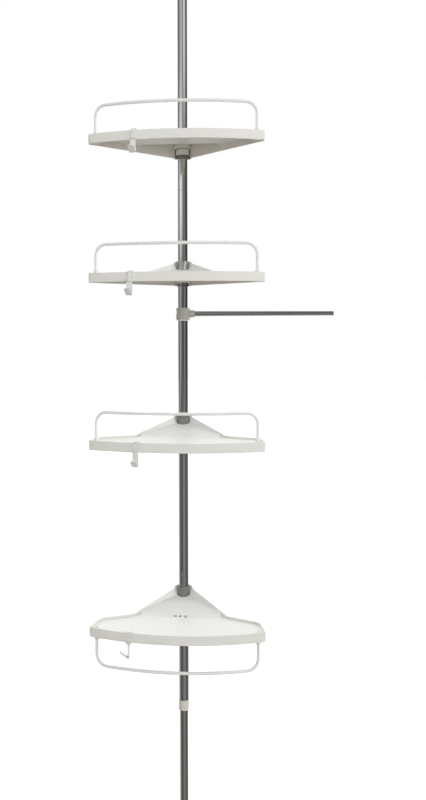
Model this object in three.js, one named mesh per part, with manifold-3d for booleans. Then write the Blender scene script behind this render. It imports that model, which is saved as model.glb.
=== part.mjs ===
// Corner shelf unit on a tension pole: four moulded trays and a towel bar clamped to a steel tube.
// Millimetres, +Z up. The origin is on the floor under the pole's axis, and the trays face -Y.

import * as THREE from 'three'
import { mergeVertices } from 'three/addons/utils/BufferGeometryUtils.js'
import Module from 'manifold-3d'

const wasm = await Module()
wasm.setup()

// Driving sizes of the whole unit
const poleRadius = 11.1
const poleWall = 0.7
const lowerTubeRadius = 9.5
const lowerTubeWall = 0.7
const trayHalfWidth = 187.8
const trayTipDepth = 166
const trayFrontDepth = 203
const trayCornerDepth = 17.7
const rimHeight = 20
const shelfHeights = { shelf_1: 1468, shelf_2: 1182, shelf_3: 837.4, shelf_4: 453 }
const towelBarHeight = 1119
const towelBarReach = 335

// Clearances and cutting allowances
const fitGap = 0.3
const slideGap = 0.25
const overrun = 2
const mergeTolerance = 0.0001

// How finely round things are divided
const roundSegments = 18
const smallSegments = 10
const wireSegments = 8
const frontArcSegments = 14
const tipArcSegments = 3
const bendSegments = 5

// Foot and ceiling ends
const padHeight = 4
const padRadius = 25
const padChamfer = 1
const cupBaseRadius = 24
const cupSkirtHeight = 6
const cupNeckHeight = 26
const cupWallTop = 2.4
const cupFloor = 4
const neckRound = 1.2

// Lower tube, its plug and the grip ring that jams in the pole
const lowerTubeTop = 560
const plugShankLength = 24
const plugShoulder = 2.5
const plugNeckRadius = 6.4
const gripRingHeight = 14
const gripRingSlit = 2.2
const plugHeadHeight = 3

// Lock collar and the threaded insert in the end of the pole
const collarBottom = 231.6
const collarHeight = 21.8
const collarWall = 1
const collarChamfer = 0.8
const insertSpigotLength = 16
const insertWall = 0.75

// Pole sections and what holds them together
const poleTop = 1900
const jointHeights = [858, 1397]
const couplerLength = 60
const couplerWall = 1.2

// Spring-loaded top end
const plungerRadius = 8
const plungerWall = 0.8
const plungerExposed = 160
const stopRingHeight = 8
const stopRingRadius = 9.9
const bushFlangeHeight = 6
const bushFlangeWall = 1.3
const bushSpigotLength = 20
const springLength = 121
const springMeanRadius = 7.6
const springWireRadius = 0.9
const springTurnCount = 10
const springSideCount = 5
const springStepCount = 8
const springSeatHeight = 10

// Tray moulding
const tipRadius = 8
const moulding = 2.6
const lipWidth = 3
const rimRound = 1.6
const floorTop = 15.5
const rampReach = 90
const rampHalfWidth = 86
const rampHeight = 39.2
const ridgeTop = 57.5
const ridgeLength = 128
const ridgeEndRise = 2
const flankReach = 28
const hubRadius = 20
const hubWall = 2.6
const hubBottom = 19.8
const hubTop = 53.5

// Split collet between tray and pole, with its lock ring and stop band
const colletFootRadius = 16.2
const colletTopRadius = 15.2
const colletTop = 54.6
const colletFoot = 20.4
const colletTailRadius = 12.5
const colletTailBottom = 6.2
const colletSlit = 1.2
const lockRingHeight = 13.2
const lockRingRadius = 14.9
const lockRingRibDepth = 0.9
const lockRingRibCount = 14
const bandRadius = 13.6
const bandBottom = -2
const bandHeight = 7.6
const bandSlit = 2

// Wire rail and its sockets
const wireRadius = 3.25
const postSetIn = 7.6
const postSetForward = 1.5
const railRise = 68
const railBend = 23
const railEngagement = 15
const socketRadius = 7.6
const ferruleHeight = 5
const ferruleWall = 1.5

// Clip and hook on the front rim
const hookShares = { shelf_1: -0.435, shelf_2: -0.478, shelf_3: -0.416, shelf_4: -0.496 }
const hookTurnDegrees = { shelf_1: 0, shelf_2: 0, shelf_3: 0, shelf_4: -60 }
const clipWidth = 11
const clipThickness = 2
const clipRound = 1.6
const clipBottom = 3
const clipLugReach = 10
const clipLugThickness = 2.4
const hookPivotOut = 6.2
const hookPinRadius = 1.8
const hookPinHeadRadius = 3
const hookPinHeadHeight = 1.4
const hookWidth = 12
const hookThickness = 2.2
const hookTop = -0.2
const hookDrop = 27.5
const hookElbow = 3.4
const hookProngReach = 16
const hookProngRise = 14

// Towel bar clamp
const sleeveHalfHeight = 13.2
const sleeveRadius = 15.3
const sleeveWaist = 0.8
const sleeveRound = 1.2
const socketReach = 27
const socketInnerRadius = 8.6
const socketOuterRadius = 7.4
const carrierWall = 1.4
const carrierFlangeRadius = 14.4
const carrierFlangeHeight = 2
const carrierSlit = 2
const rodRadiusNear = 6
const rodRadiusFar = 4.9
const rodSeatStart = 15.2
const rodCapLength = 3
const rodCapLip = 0.5

// Finishes, as the photograph shows them
const finishes = {
  whitePlastic: { color: 0xf1f1ec, roughness: 0.42, metalness: 0 },
  whiteCoating: { color: 0xf4f4f1, roughness: 0.35, metalness: 0 },
  steel: { color: 0x9b9b98, roughness: 0.24, metalness: 1 },
  lowerSteel: { color: 0x8d8c84, roughness: 0.34, metalness: 1 },
  greyPlastic: { color: 0xb3b3a9, roughness: 0.5, metalness: 0 },
  darkPlastic: { color: 0x5c5d5c, roughness: 0.45, metalness: 0 },
  hookPlastic: { color: 0xdcdfda, roughness: 0.3, metalness: 0 },
  rubber: { color: 0x3a3a3a, roughness: 0.85, metalness: 0 },
  springSteel: { color: 0x8f9092, roughness: 0.3, metalness: 1 },
}
const materials = Object.fromEntries(
  Object.entries(finishes).map(([name, look]) => [name, new THREE.MeshStandardMaterial(look)]),
)

// Values worked out from the sizes above
const poleBore = poleRadius - poleWall
const lowerTubeBore = lowerTubeRadius - lowerTubeWall
const footTop = padHeight + cupNeckHeight
const frontArcRadius =
  (trayHalfWidth ** 2 + (trayFrontDepth - trayTipDepth) ** 2) / (2 * (trayFrontDepth - trayTipDepth))
const frontArcCentre = frontArcRadius - trayFrontDepth
const backEdge = new THREE.Vector2(trayHalfWidth, -(trayTipDepth + trayCornerDepth)).normalize()
const tipCentre = findTipCentre()
const postHalfSpan = tipCentre.x - postSetIn
const postDepth = postSetForward - tipCentre.y
const cutSpan = 4 * trayHalfWidth
const up = new THREE.Vector3(0, 0, 1)

// A closed solid for joining and cutting, from any three.js geometry
function solid(geometry) {
  geometry.deleteAttribute('normal')
  geometry.deleteAttribute('uv')
  const merged = mergeVertices(geometry, mergeTolerance)
  const corners = merged.index.array
  const kept = []
  for (let i = 0; i < corners.length; i += 3) {
    const [a, b, c] = corners.slice(i, i + 3)
    if (a !== b && b !== c && c !== a) kept.push(a, b, c)
  }
  const vertProperties = Float32Array.from(merged.attributes.position.array)
  return new wasm.Manifold(new wasm.Mesh({ numProp: 3, vertProperties, triVerts: Uint32Array.from(kept) }))
}

// The geometry of a finished solid
function geometryOf(shape) {
  const mesh = shape.getMesh()
  const geometry = new THREE.BufferGeometry()
  geometry.setAttribute('position', new THREE.BufferAttribute(Float32Array.from(mesh.vertProperties), 3))
  geometry.setIndex(new THREE.BufferAttribute(Uint32Array.from(mesh.triVerts), 1))
  geometry.computeVertexNormals()
  return geometry
}

// A revolved solid: the outline is a closed loop of [radius, height]
function revolve(outline, segments = roundSegments) {
  const points = outline.map(([radius, height]) => new THREE.Vector2(radius, height))
  if (THREE.ShapeUtils.area(points) < 0) points.reverse()
  points.push(points[0].clone())
  const geometry = new THREE.LatheGeometry(points, segments)
  geometry.rotateX(Math.PI / 2)
  return solid(geometry)
}

// A plain round bar or a plain tube, standing between two heights
function bar(radius, bottom, top, segments = roundSegments) {
  return revolve([[0, bottom], [radius, bottom], [radius, top], [0, top]], segments)
}

function tube(inner, outer, bottom, top, segments = roundSegments) {
  return revolve([[inner, bottom], [outer, bottom], [outer, top], [inner, top]], segments)
}

// A tube with its outer edges chamfered
function chamferedTube(inner, outer, bottom, top, chamfer, segments = roundSegments) {
  return revolve(
    [
      [inner, bottom], [outer - chamfer, bottom], [outer, bottom + chamfer],
      [outer, top - chamfer], [outer - chamfer, top], [inner, top],
    ],
    segments,
  )
}

// An upright block between two heights over a plan outline, with its edges rounded if asked
function upright(points, bottom, top, round = 0) {
  const geometry = new THREE.ExtrudeGeometry(new THREE.Shape(points), {
    depth: top - bottom - 2 * round,
    bevelEnabled: round > 0,
    bevelSize: round,
    bevelOffset: -round,
    bevelThickness: round,
    bevelSegments: 1,
  })
  geometry.translate(0, 0, bottom + round)
  return solid(geometry)
}

// A strip of even width over a side outline of [outwards, height]; outwards is -Y
function sideStrip(outline, width) {
  const points = outline.map(([outwards, height]) => new THREE.Vector2(outwards, height))
  const geometry = new THREE.ExtrudeGeometry(new THREE.Shape(points), { depth: width, bevelEnabled: false })
  geometry.translate(0, 0, -width / 2)
  const turn = new THREE.Matrix4().makeBasis(
    new THREE.Vector3(0, -1, 0), new THREE.Vector3(0, 0, 1), new THREE.Vector3(-1, 0, 0),
  )
  geometry.applyMatrix4(turn)
  return solid(geometry)
}

// A block for cutting, given by its centre and its three sides
function block(x, y, z, width, depth, height) {
  const geometry = new THREE.BoxGeometry(width, depth, height)
  geometry.translate(x, y, z)
  return solid(geometry)
}

// Everything above a sloping plane
function above(point, normal) {
  const geometry = new THREE.BoxGeometry(cutSpan, cutSpan, cutSpan)
  geometry.translate(0, 0, cutSpan / 2)
  geometry.applyQuaternion(new THREE.Quaternion().setFromUnitVectors(up, normal.clone().normalize()))
  geometry.translate(point.x, point.y, point.z)
  return solid(geometry)
}

// Points along an arc, both ends included
function arcPoints(centre, radius, from, to, count) {
  return Array.from({ length: count + 1 }, (_, i) => {
    const angle = from + ((to - from) * i) / count
    return new THREE.Vector2(centre.x + radius * Math.cos(angle), centre.y + radius * Math.sin(angle))
  })
}

// The centre of the right tip's round: it touches the back edge and the front arc
function findTipCentre() {
  const start = new THREE.Vector2(0, trayCornerDepth).addScaledVector(inwardsFrom(backEdge), tipRadius)
  const offset = start.clone().sub(new THREE.Vector2(0, frontArcCentre))
  const half = offset.dot(backEdge)
  const travel = -half + Math.sqrt(half ** 2 - offset.lengthSq() + (frontArcRadius - tipRadius) ** 2)
  return start.addScaledVector(backEdge, travel)
}

function inwardsFrom(edge) {
  return new THREE.Vector2(edge.y, -edge.x)
}

// The tray's plan: a shallow front arc, rounded tips and two straight back edges that meet behind
// the pole. The inset draws the whole outline in by the same width.
function trayPlan(inset) {
  const inwards = inwardsFrom(backEdge)
  const arcCentre = new THREE.Vector2(0, frontArcCentre)
  const radius = tipRadius - inset
  const fromArc = tipCentre.clone().sub(arcCentre).angle() - 2 * Math.PI
  const backNormal = inwards.clone().negate().angle()
  const front = arcPoints(arcCentre, frontArcRadius - inset, -Math.PI - fromArc, fromArc, frontArcSegments)
  const rightTip = arcPoints(tipCentre, radius, fromArc, backNormal, tipArcSegments)
  const leftTip = rightTip.map((point) => new THREE.Vector2(-point.x, point.y)).reverse()
  const corner = new THREE.Vector2(0, trayCornerDepth - inset / -inwards.y)
  return [...front.slice(1, -1), ...rightTip, corner, ...leftTip]
}

// The raised back of a tray: a low ramp up to the hub and a steep flank under the ridge along each
// back edge. The inset and the drop give the underside of the same form.
function trayHump(inset, drop, bottom) {
  const spread = trayHalfWidth / (trayTipDepth + trayCornerDepth)
  const corner = trayCornerDepth - inset * Math.hypot(1, 1 / spread)
  const half = (corner + rampReach) * spread
  const plan = [[0, corner], [-half, -rampReach], [half, -rampReach]].map(([x, y]) => new THREE.Vector2(x, y))
  const full = upright(plan, bottom, ridgeTop + overrun)
  const ramp = full.intersect(block(0, 0, 0, 2 * (rampHalfWidth - inset), cutSpan, cutSpan))
  return underSlopes(ramp, full, drop)
}

// What is left of one shape under the ramp and of another under either flank
function underSlopes(ramp, flanks, drop) {
  const left = flanks.subtract(flankCut(-1, drop))
  const right = flanks.subtract(flankCut(1, drop))
  return ramp.subtract(rampCut(drop)).add(left).add(right)
}

// Everything above the ramp, which climbs from the floor to the pole
function rampCut(drop) {
  const normal = new THREE.Vector3(0, (floorTop - rampHeight) / rampReach, 1)
  return above(new THREE.Vector3(0, -rampReach, floorTop - drop * normal.length()), normal)
}

// Everything above one flank: it falls along the ridge, and more steeply away from the back edge
function flankCut(side, drop) {
  const along = new THREE.Vector2(side * backEdge.x, backEdge.y)
  const inwards = new THREE.Vector2(side * backEdge.y, -backEdge.x)
  const ridgeSlope = (ridgeTop - rimHeight - ridgeEndRise) / ridgeLength
  const flankSlope = (ridgeTop - floorTop) / flankReach
  const normal = new THREE.Vector3(
    ridgeSlope * along.x + flankSlope * inwards.x, ridgeSlope * along.y + flankSlope * inwards.y, 1,
  )
  return above(new THREE.Vector3(0, trayCornerDepth, ridgeTop - drop * normal.length()), normal)
}

// The upright cylinder of the hub, level with the ramp in front and with the flanks at the sides
function hubColumn(bottom) {
  const column = bar(hubRadius, bottom, hubTop)
  return underSlopes(column, column, 0)
}

// One tray: a thin shell with a raised lip, a hub round the pole and a socket for each rail leg
function makeTray() {
  const well = upright(trayPlan(lipWidth), floorTop, rimHeight + overrun)
  const belowFloor = upright(trayPlan(moulding), -overrun, floorTop - moulding)
  const hollow = belowFloor.add(trayHump(moulding, moulding, 0))
  const seat = revolve([
    [0, hubBottom - overrun], [colletFootRadius + fitGap, hubBottom - overrun],
    [colletFootRadius + fitGap, colletFoot], [colletTopRadius + fitGap, colletTop],
    [colletTopRadius + fitGap, hubTop + overrun], [0, hubTop + overrun],
  ])
  let tray = upright(trayPlan(0), 0, rimHeight, rimRound).subtract(well)
  tray = tray.add(trayHump(0, 0, rimHeight / 2)).add(hubColumn(0)).subtract(hollow)
  tray = tray.subtract(bar(hubRadius - hubWall, -overrun, hubBottom)).add(hubColumn(hubBottom)).subtract(seat)
  for (const side of [-1, 1]) {
    const boss = bar(socketRadius, 0, rimHeight - rimRound, smallSegments)
    tray = tray.add(boss.translate(side * postHalfSpan, -postDepth, 0))
    const hole = bar(wireRadius + fitGap, -overrun, rimHeight + overrun, smallSegments)
    tray = tray.subtract(hole.translate(side * postHalfSpan, -postDepth, 0))
  }
  return geometryOf(tray.subtract(block(0, 0, hubTop + cutSpan / 2, cutSpan, cutSpan, cutSpan)))
}

// The collet: a split tapered sleeve that the tray's weight wedges against the pole
function makeCollet() {
  const bore = poleRadius + slideGap
  const sleeve = revolve([
    [bore, colletTailBottom], [colletTailRadius, colletTailBottom], [colletTailRadius, colletFoot],
    [colletFootRadius, colletFoot], [colletTopRadius, colletTop], [bore, colletTop],
  ])
  const middle = (colletTop + colletTailBottom) / 2
  const length = colletTop - colletTailBottom + 2 * overrun
  return geometryOf(sleeve.subtract(block(0, hubRadius, middle, colletSlit, 2 * hubRadius, length)))
}

// The lock ring: a ribbed nut on the collet's tail
function makeLockRing() {
  const points = []
  const stepAngle = (2 * Math.PI) / lockRingRibCount
  const ribShares = [0, 0.3, 0.65]
  for (let rib = 0; rib < lockRingRibCount; rib += 1) {
    ribShares.forEach((share, corner) => {
      const radius = corner < 2 ? lockRingRadius : lockRingRadius - lockRingRibDepth
      const angle = (rib + share) * stepAngle
      points.push(new THREE.Vector2(radius * Math.cos(angle), radius * Math.sin(angle)))
    })
  }
  const bottom = colletTailBottom
  const ring = upright(points, bottom, bottom + lockRingHeight)
  const bore = bar(colletTailRadius + fitGap, bottom - overrun, bottom + lockRingHeight + overrun)
  return geometryOf(ring.subtract(bore))
}

// The stop band: a split steel ring that carries the collet's tail
function makeStopBand() {
  const top = bandBottom + bandHeight
  const ring = tube(poleRadius + slideGap, bandRadius, bandBottom, top)
  const slit = block(0, bandRadius, bandBottom + bandHeight / 2, bandSlit, bandRadius, bandHeight + overrun)
  return geometryOf(ring.subtract(slit))
}

// The rail's centre line, between the two posts, with the tray's middle height as zero
class RailLine extends THREE.Curve {
  constructor() {
    super()
    const radius = Math.hypot(postHalfSpan, postDepth + frontArcCentre)
    const postAngle = Math.asin(postHalfSpan / radius)
    const place = (angle, height) => new THREE.Vector3(
      radius * Math.sin(angle), frontArcCentre - radius * Math.cos(angle), height,
    )
    const leg = rimHeight / 2 - railEngagement
    const stations = [place(-postAngle, leg)]
    for (let i = 0; i <= bendSegments; i += 1) {
      const turn = (Math.PI / 2) * (i / bendSegments)
      const travel = railBend * (1 - Math.cos(turn))
      stations.push(place(travel / radius - postAngle, railRise - railBend + railBend * Math.sin(turn)))
    }
    const bendAngle = railBend / radius
    const half = postAngle - bendAngle
    for (let i = 1; i < frontArcSegments / 2; i += 1) {
      stations.push(place(-half + (2 * half * i) / (frontArcSegments / 2), railRise))
    }
    const mirrored = stations.slice(0, bendSegments + 2).reverse()
    mirrored.forEach((point) => stations.push(new THREE.Vector3(-point.x, point.y, point.z)))
    this.stations = stations
    this.stepCount = stations.length - 1
  }

  getPoint(t) {
    const place = Math.min(t * this.stepCount, this.stepCount)
    const first = Math.min(Math.floor(place), this.stepCount - 1)
    return this.stations[first].clone().lerp(this.stations[first + 1], place - first)
  }

  getPointAt(t) {
    return this.getPoint(t)
  }

  getTangentAt(t) {
    const station = Math.round(t * this.stepCount)
    const here = this.stations[station]
    const tangent = new THREE.Vector3()
    if (station > 0) tangent.add(here.clone().sub(this.stations[station - 1]).normalize())
    if (station < this.stepCount) tangent.add(this.stations[station + 1].clone().sub(here).normalize())
    return tangent.normalize()
  }
}

// A round wire along a line of stations
function makeRail() {
  const line = new RailLine()
  const section = arcPoints(new THREE.Vector2(), wireRadius, 0, 2 * Math.PI, wireSegments).slice(1)
  return geometryOf(solid(new THREE.ExtrudeGeometry(new THREE.Shape(section), {
    steps: line.stepCount, extrudePath: line, bevelEnabled: false,
  })))
}

// A ferrule round one rail leg, seated on the rim
function makeFerrule() {
  const bottom = rimHeight / 2 + fitGap
  const inner = wireRadius + slideGap
  return geometryOf(tube(inner, inner + ferruleWall, bottom, bottom + ferruleHeight, smallSegments))
}

// The clip that sits over the front lip, with a lug that carries the hook's pin
function makeHookClip() {
  const inner = -lipWidth - fitGap
  const top = rimHeight + fitGap
  const lugBottom = clipBottom - clipLugThickness
  const saddle = sideStrip([
    [inner - clipThickness, floorTop + fitGap], [inner, floorTop + fitGap], [inner, top], [fitGap, top],
    [fitGap, lugBottom], [clipLugReach, lugBottom],
    [clipLugReach, clipBottom], [fitGap + clipThickness, clipBottom],
    [fitGap + clipThickness, top + clipThickness - clipRound],
    [fitGap + clipThickness - clipRound, top + clipThickness],
    [inner - clipThickness + clipRound, top + clipThickness],
    [inner - clipThickness, top + clipThickness - clipRound],
  ], clipWidth)
  const hole = bar(hookPinRadius + fitGap, lugBottom - overrun, clipBottom + overrun, smallSegments)
  return geometryOf(saddle.subtract(hole.translate(0, -hookPivotOut, 0)))
}

// The hook: a flat strap that ends in a raised prong, hung on a headed pin
function makeHook() {
  const half = hookThickness / 2
  const bottom = hookTop - hookDrop
  const rise = Math.atan2(hookProngRise, hookProngReach)
  const out = new THREE.Vector2(Math.cos(rise), Math.sin(rise))
  const length = Math.hypot(hookProngReach, hookProngRise)
  const elbow = new THREE.Vector2(hookElbow - half, bottom + hookElbow)
  const outer = arcPoints(elbow, hookElbow, Math.PI, 1.5 * Math.PI + rise, bendSegments)
  const inner = arcPoints(elbow, hookElbow - hookThickness, 1.5 * Math.PI + rise, Math.PI, bendSegments)
  const tipOuter = outer[outer.length - 1].clone().addScaledVector(out, length - hookElbow)
  const tipInner = inner[0].clone().addScaledVector(out, length - hookElbow)
  const tipRound = tipOuter.clone().add(tipInner).multiplyScalar(0.5).addScaledVector(out, half)
  const outline = [
    [-half, hookTop], ...outer.map((point) => [point.x, point.y]), [tipOuter.x, tipOuter.y],
    [tipRound.x, tipRound.y], [tipInner.x, tipInner.y], ...inner.map((point) => [point.x, point.y]),
    [half, hookTop],
  ]
  const headBottom = clipBottom + fitGap
  const pin = revolve([
    [0, hookTop - half], [hookPinRadius, hookTop - half], [hookPinRadius, headBottom],
    [hookPinHeadRadius, headBottom], [hookPinHeadRadius, headBottom + hookPinHeadHeight / 2],
    [hookPinRadius, headBottom + hookPinHeadHeight], [0, headBottom + hookPinHeadHeight],
  ], smallSegments)
  return geometryOf(sideStrip(outline, hookWidth).add(pin))
}

// A white cup for the foot; the ceiling end is the same cup upside down
function makeCup(tubeRadius) {
  const neck = tubeRadius + fitGap + cupWallTop
  return geometryOf(revolve([
    [0, padHeight + fitGap], [cupBaseRadius, padHeight + fitGap], [cupBaseRadius, padHeight + cupSkirtHeight],
    [(cupBaseRadius + neck) / 2, padHeight + cupSkirtHeight + (cupNeckHeight - cupSkirtHeight) / 4],
    [neck, padHeight + cupNeckHeight - cupSkirtHeight], [neck, footTop - neckRound],
    [neck - neckRound, footTop], [tubeRadius + fitGap, footTop],
    [tubeRadius + fitGap, padHeight + cupFloor], [0, padHeight + cupFloor],
  ]))
}

// The rubber pad under the cup
function makePad() {
  return geometryOf(revolve([
    [0, 0], [padRadius - padChamfer, 0], [padRadius, padChamfer], [padRadius, padHeight - padChamfer],
    [padRadius - padChamfer, padHeight], [0, padHeight],
  ]))
}

// The plug in the top of the lower tube, with a neck for the grip ring and a head over it
function makeLowerPlug() {
  const shoulderTop = lowerTubeTop + fitGap + plugShoulder
  const headBottom = shoulderTop + gripRingHeight + 2 * fitGap
  const shank = lowerTubeBore - fitGap
  const head = lowerTubeRadius
  return geometryOf(revolve([
    [0, lowerTubeTop - plugShankLength], [shank, lowerTubeTop - plugShankLength],
    [shank, lowerTubeTop + fitGap], [head, lowerTubeTop + fitGap], [head, shoulderTop],
    [plugNeckRadius, shoulderTop],
    [plugNeckRadius, headBottom], [head, headBottom], [head, headBottom + plugHeadHeight],
    [0, headBottom + plugHeadHeight],
  ]))
}

// The split ring that grips the inside of the pole
function makeGripRing() {
  const bottom = lowerTubeTop + plugShoulder + 2 * fitGap
  const outer = poleBore - slideGap
  const ring = chamferedTube(plugNeckRadius + fitGap, outer, bottom, bottom + gripRingHeight, collarChamfer)
  const slit = block(0, outer, bottom + gripRingHeight / 2, gripRingSlit, 2 * (outer - plugNeckRadius),
    gripRingHeight + overrun)
  return geometryOf(ring.subtract(slit))
}

// The insert in the end of the pole that guides the lower tube and carries the collar's thread
function makeCollarInsert() {
  const bore = lowerTubeRadius + slideGap
  const collarTop = collarBottom + collarHeight
  return geometryOf(revolve([
    [bore, collarBottom + overrun], [bore + insertWall, collarBottom + overrun],
    [bore + insertWall, collarTop], [poleBore - slideGap, collarTop],
    [poleBore - slideGap, collarTop + insertSpigotLength], [bore, collarTop + insertSpigotLength],
  ]))
}

// The lock collar: a grey sleeve under the end of the pole
function makeLockCollar() {
  const bore = lowerTubeRadius + slideGap
  const thread = bore + insertWall + slideGap
  const outer = thread + collarWall
  const top = collarBottom + collarHeight - fitGap
  return geometryOf(revolve([
    [bore, collarBottom], [outer - collarChamfer, collarBottom], [outer, collarBottom + collarChamfer],
    [outer, top - collarChamfer], [outer - collarChamfer, top], [thread, top],
    [thread, collarBottom + overrun - fitGap], [bore, collarBottom + overrun - fitGap],
  ]))
}

// The plunger's top bush, with a flange that caps the pole
function makeGuideBush() {
  const bore = plungerRadius + slideGap
  return geometryOf(revolve([
    [bore, poleTop - bushSpigotLength], [poleBore - fitGap, poleTop - bushSpigotLength],
    [poleBore - fitGap, poleTop + fitGap], [poleRadius + bushFlangeWall, poleTop + fitGap],
    [poleRadius + bushFlangeWall, poleTop + bushFlangeHeight - neckRound],
    [poleRadius + bushFlangeWall - neckRound, poleTop + bushFlangeHeight], [bore, poleTop + bushFlangeHeight],
  ]))
}

// The compression spring: one wire wound at a steady rate
function makeSpring(bottom) {
  const span = springLength - 2 * (springWireRadius + fitGap)
  class SpringLine extends THREE.Curve {
    getPoint(t) {
      const angle = 2 * Math.PI * springTurnCount * t
      const height = bottom + springWireRadius + fitGap + span * t
      return new THREE.Vector3(springMeanRadius * Math.cos(angle), springMeanRadius * Math.sin(angle), height)
    }
  }
  const section = arcPoints(new THREE.Vector2(), springWireRadius, 0, 2 * Math.PI, springSideCount).slice(1)
  return geometryOf(solid(new THREE.ExtrudeGeometry(new THREE.Shape(section), {
    steps: springTurnCount * springStepCount, extrudePath: new SpringLine(), bevelEnabled: false,
  })))
}

// The towel bar's split carrier on the pole
function makeBarCarrier() {
  const bore = poleRadius + slideGap
  const outer = bore + carrierWall
  const flangeTop = -sleeveHalfHeight - fitGap
  const sleeve = revolve([
    [bore, flangeTop - carrierFlangeHeight], [carrierFlangeRadius, flangeTop - carrierFlangeHeight],
    [carrierFlangeRadius, flangeTop], [outer, flangeTop], [outer, sleeveHalfHeight - fitGap],
    [bore, sleeveHalfHeight - fitGap],
  ])
  const slit = block(0, carrierFlangeRadius, 0, carrierSlit, carrierFlangeRadius, 4 * sleeveHalfHeight)
  return geometryOf(sleeve.subtract(slit))
}

// The clamp: a waisted sleeve with a tapered socket that holds the rod
function makeBarClamp() {
  const bore = poleRadius + slideGap + carrierWall + fitGap
  const top = sleeveHalfHeight
  const sleeve = revolve([
    [0, -top], [sleeveRadius - sleeveRound, -top], [sleeveRadius, sleeveRound - top],
    [sleeveRadius, top / -3],
    [sleeveRadius - sleeveWaist, 0], [sleeveRadius - sleeveWaist, top / 3],
    [sleeveRadius, top - sleeveRound], [sleeveRadius - sleeveRound, top], [0, top],
  ])
  const toward = new THREE.Matrix4().makeRotationY(Math.PI / 2)
  const lying = (outline) => solid(geometryOf(revolve(outline)).applyMatrix4(toward))
  const socket = lying([
    [0, 0], [socketInnerRadius, 0], [socketInnerRadius, sleeveRadius],
    [socketOuterRadius, socketReach - sleeveRound], [socketOuterRadius - sleeveRound / 2, socketReach],
    [0, socketReach],
  ])
  const seat = lying([
    [0, rodSeatStart - fitGap], [rodRadiusNear + fitGap, rodSeatStart - fitGap],
    [rodRadiusNear + fitGap, socketReach + overrun], [0, socketReach + overrun],
  ])
  const cut = bar(bore, -top - overrun, top + overrun)
  return geometryOf(sleeve.add(socket).subtract(cut).subtract(seat))
}

// The rod, a little slimmer at its far end, and its rounded cap
function makeBarRod() {
  const length = towelBarReach - rodCapLength - rodSeatStart
  const geometry = new THREE.CylinderGeometry(rodRadiusFar, rodRadiusNear, length, roundSegments)
  geometry.rotateZ(-Math.PI / 2)
  geometry.translate(rodSeatStart + length / 2, 0, 0)
  return geometryOf(solid(geometry))
}

function makeBarCap() {
  const start = towelBarReach - rodCapLength + fitGap
  const outer = rodRadiusFar + rodCapLip
  const cap = revolve([
    [0, start], [outer, start], [outer, towelBarReach - rodCapLength / 2],
    [outer * Math.SQRT1_2, towelBarReach - rodCapLength / 6], [0, towelBarReach],
  ])
  return geometryOf(cap).rotateY(Math.PI / 2)
}

// One named mesh in a group
function place(group, name, geometry, material) {
  const mesh = new THREE.Mesh(geometry, material)
  mesh.name = name
  group.add(mesh)
  return mesh
}

const unit = new THREE.Group()

// The post on the floor
function addLowerPost(parent) {
  const post = new THREE.Group()
  place(post, 'floor_pad', makePad(), materials.rubber)
  place(post, 'foot_cup', makeCup(lowerTubeRadius), materials.whitePlastic)
  const tubeBottom = padHeight + cupFloor + fitGap
  const lowerTube = tube(lowerTubeBore, lowerTubeRadius, tubeBottom, lowerTubeTop)
  place(post, 'lower_tube', geometryOf(lowerTube), materials.lowerSteel)
  place(post, 'lower_plug', makeLowerPlug(), materials.whitePlastic)
  place(post, 'grip_ring', makeGripRing(), materials.greyPlastic)
  parent.add(post)
}

// The pole: three flush sections over two couplers, with the collar and the spring's seat
function addPole(parent) {
  const pole = new THREE.Group()
  const ends = [collarBottom + collarHeight + fitGap, ...jointHeights, poleTop]
  for (let i = 0; i + 1 < ends.length; i += 1) {
    const section = tube(poleBore, poleRadius, ends[i], ends[i + 1] - (i + 2 < ends.length ? fitGap : 0))
    place(pole, `pole_section_${i + 1}`, geometryOf(section), materials.steel)
  }
  jointHeights.forEach((height, i) => {
    const outer = poleBore - fitGap
    const coupler = tube(outer - couplerWall, outer, height - couplerLength / 2, height + couplerLength / 2)
    place(pole, `pole_coupler_${i + 1}`, geometryOf(coupler), materials.lowerSteel)
  })
  place(pole, 'collar_insert', makeCollarInsert(), materials.whitePlastic)
  place(pole, 'lock_collar', makeLockCollar(), materials.greyPlastic)
  place(pole, 'guide_bush', makeGuideBush(), materials.whitePlastic)
  const stopTop = poleTop - bushSpigotLength - fitGap
  const springBottom = stopTop - stopRingHeight - springLength
  const seat = bar(poleBore - fitGap, springBottom - springSeatHeight, springBottom)
  place(pole, 'spring_seat', geometryOf(seat), materials.whitePlastic)
  place(pole, 'tension_spring', makeSpring(springBottom), materials.springSteel)
  parent.add(pole)
}

// The plunger that presses on the ceiling
function addPlunger(parent) {
  const plunger = new THREE.Group()
  const stopTop = poleTop - bushSpigotLength - fitGap
  const stopRing = revolve([
    [0, stopTop - stopRingHeight], [stopRingRadius, stopTop - stopRingHeight], [stopRingRadius, stopTop],
    [0, stopTop],
  ])
  place(plunger, 'plunger_stop', geometryOf(stopRing), materials.whitePlastic)
  const tubeTop = poleTop + bushFlangeHeight + plungerExposed
  const plungerTube = tube(plungerRadius - plungerWall, plungerRadius, stopTop + fitGap, tubeTop)
  place(plunger, 'plunger_tube', geometryOf(plungerTube), materials.lowerSteel)
  const ceiling = tubeTop + padHeight + cupFloor + fitGap
  for (const [name, geometry, material] of [
    ['ceiling_cup', makeCup(plungerRadius), materials.whitePlastic],
    ['ceiling_pad', makePad(), materials.rubber],
  ]) {
    const mesh = place(plunger, name, geometry, material)
    mesh.rotation.x = Math.PI
    mesh.position.z = ceiling
  }
  parent.add(plunger)
}

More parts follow.
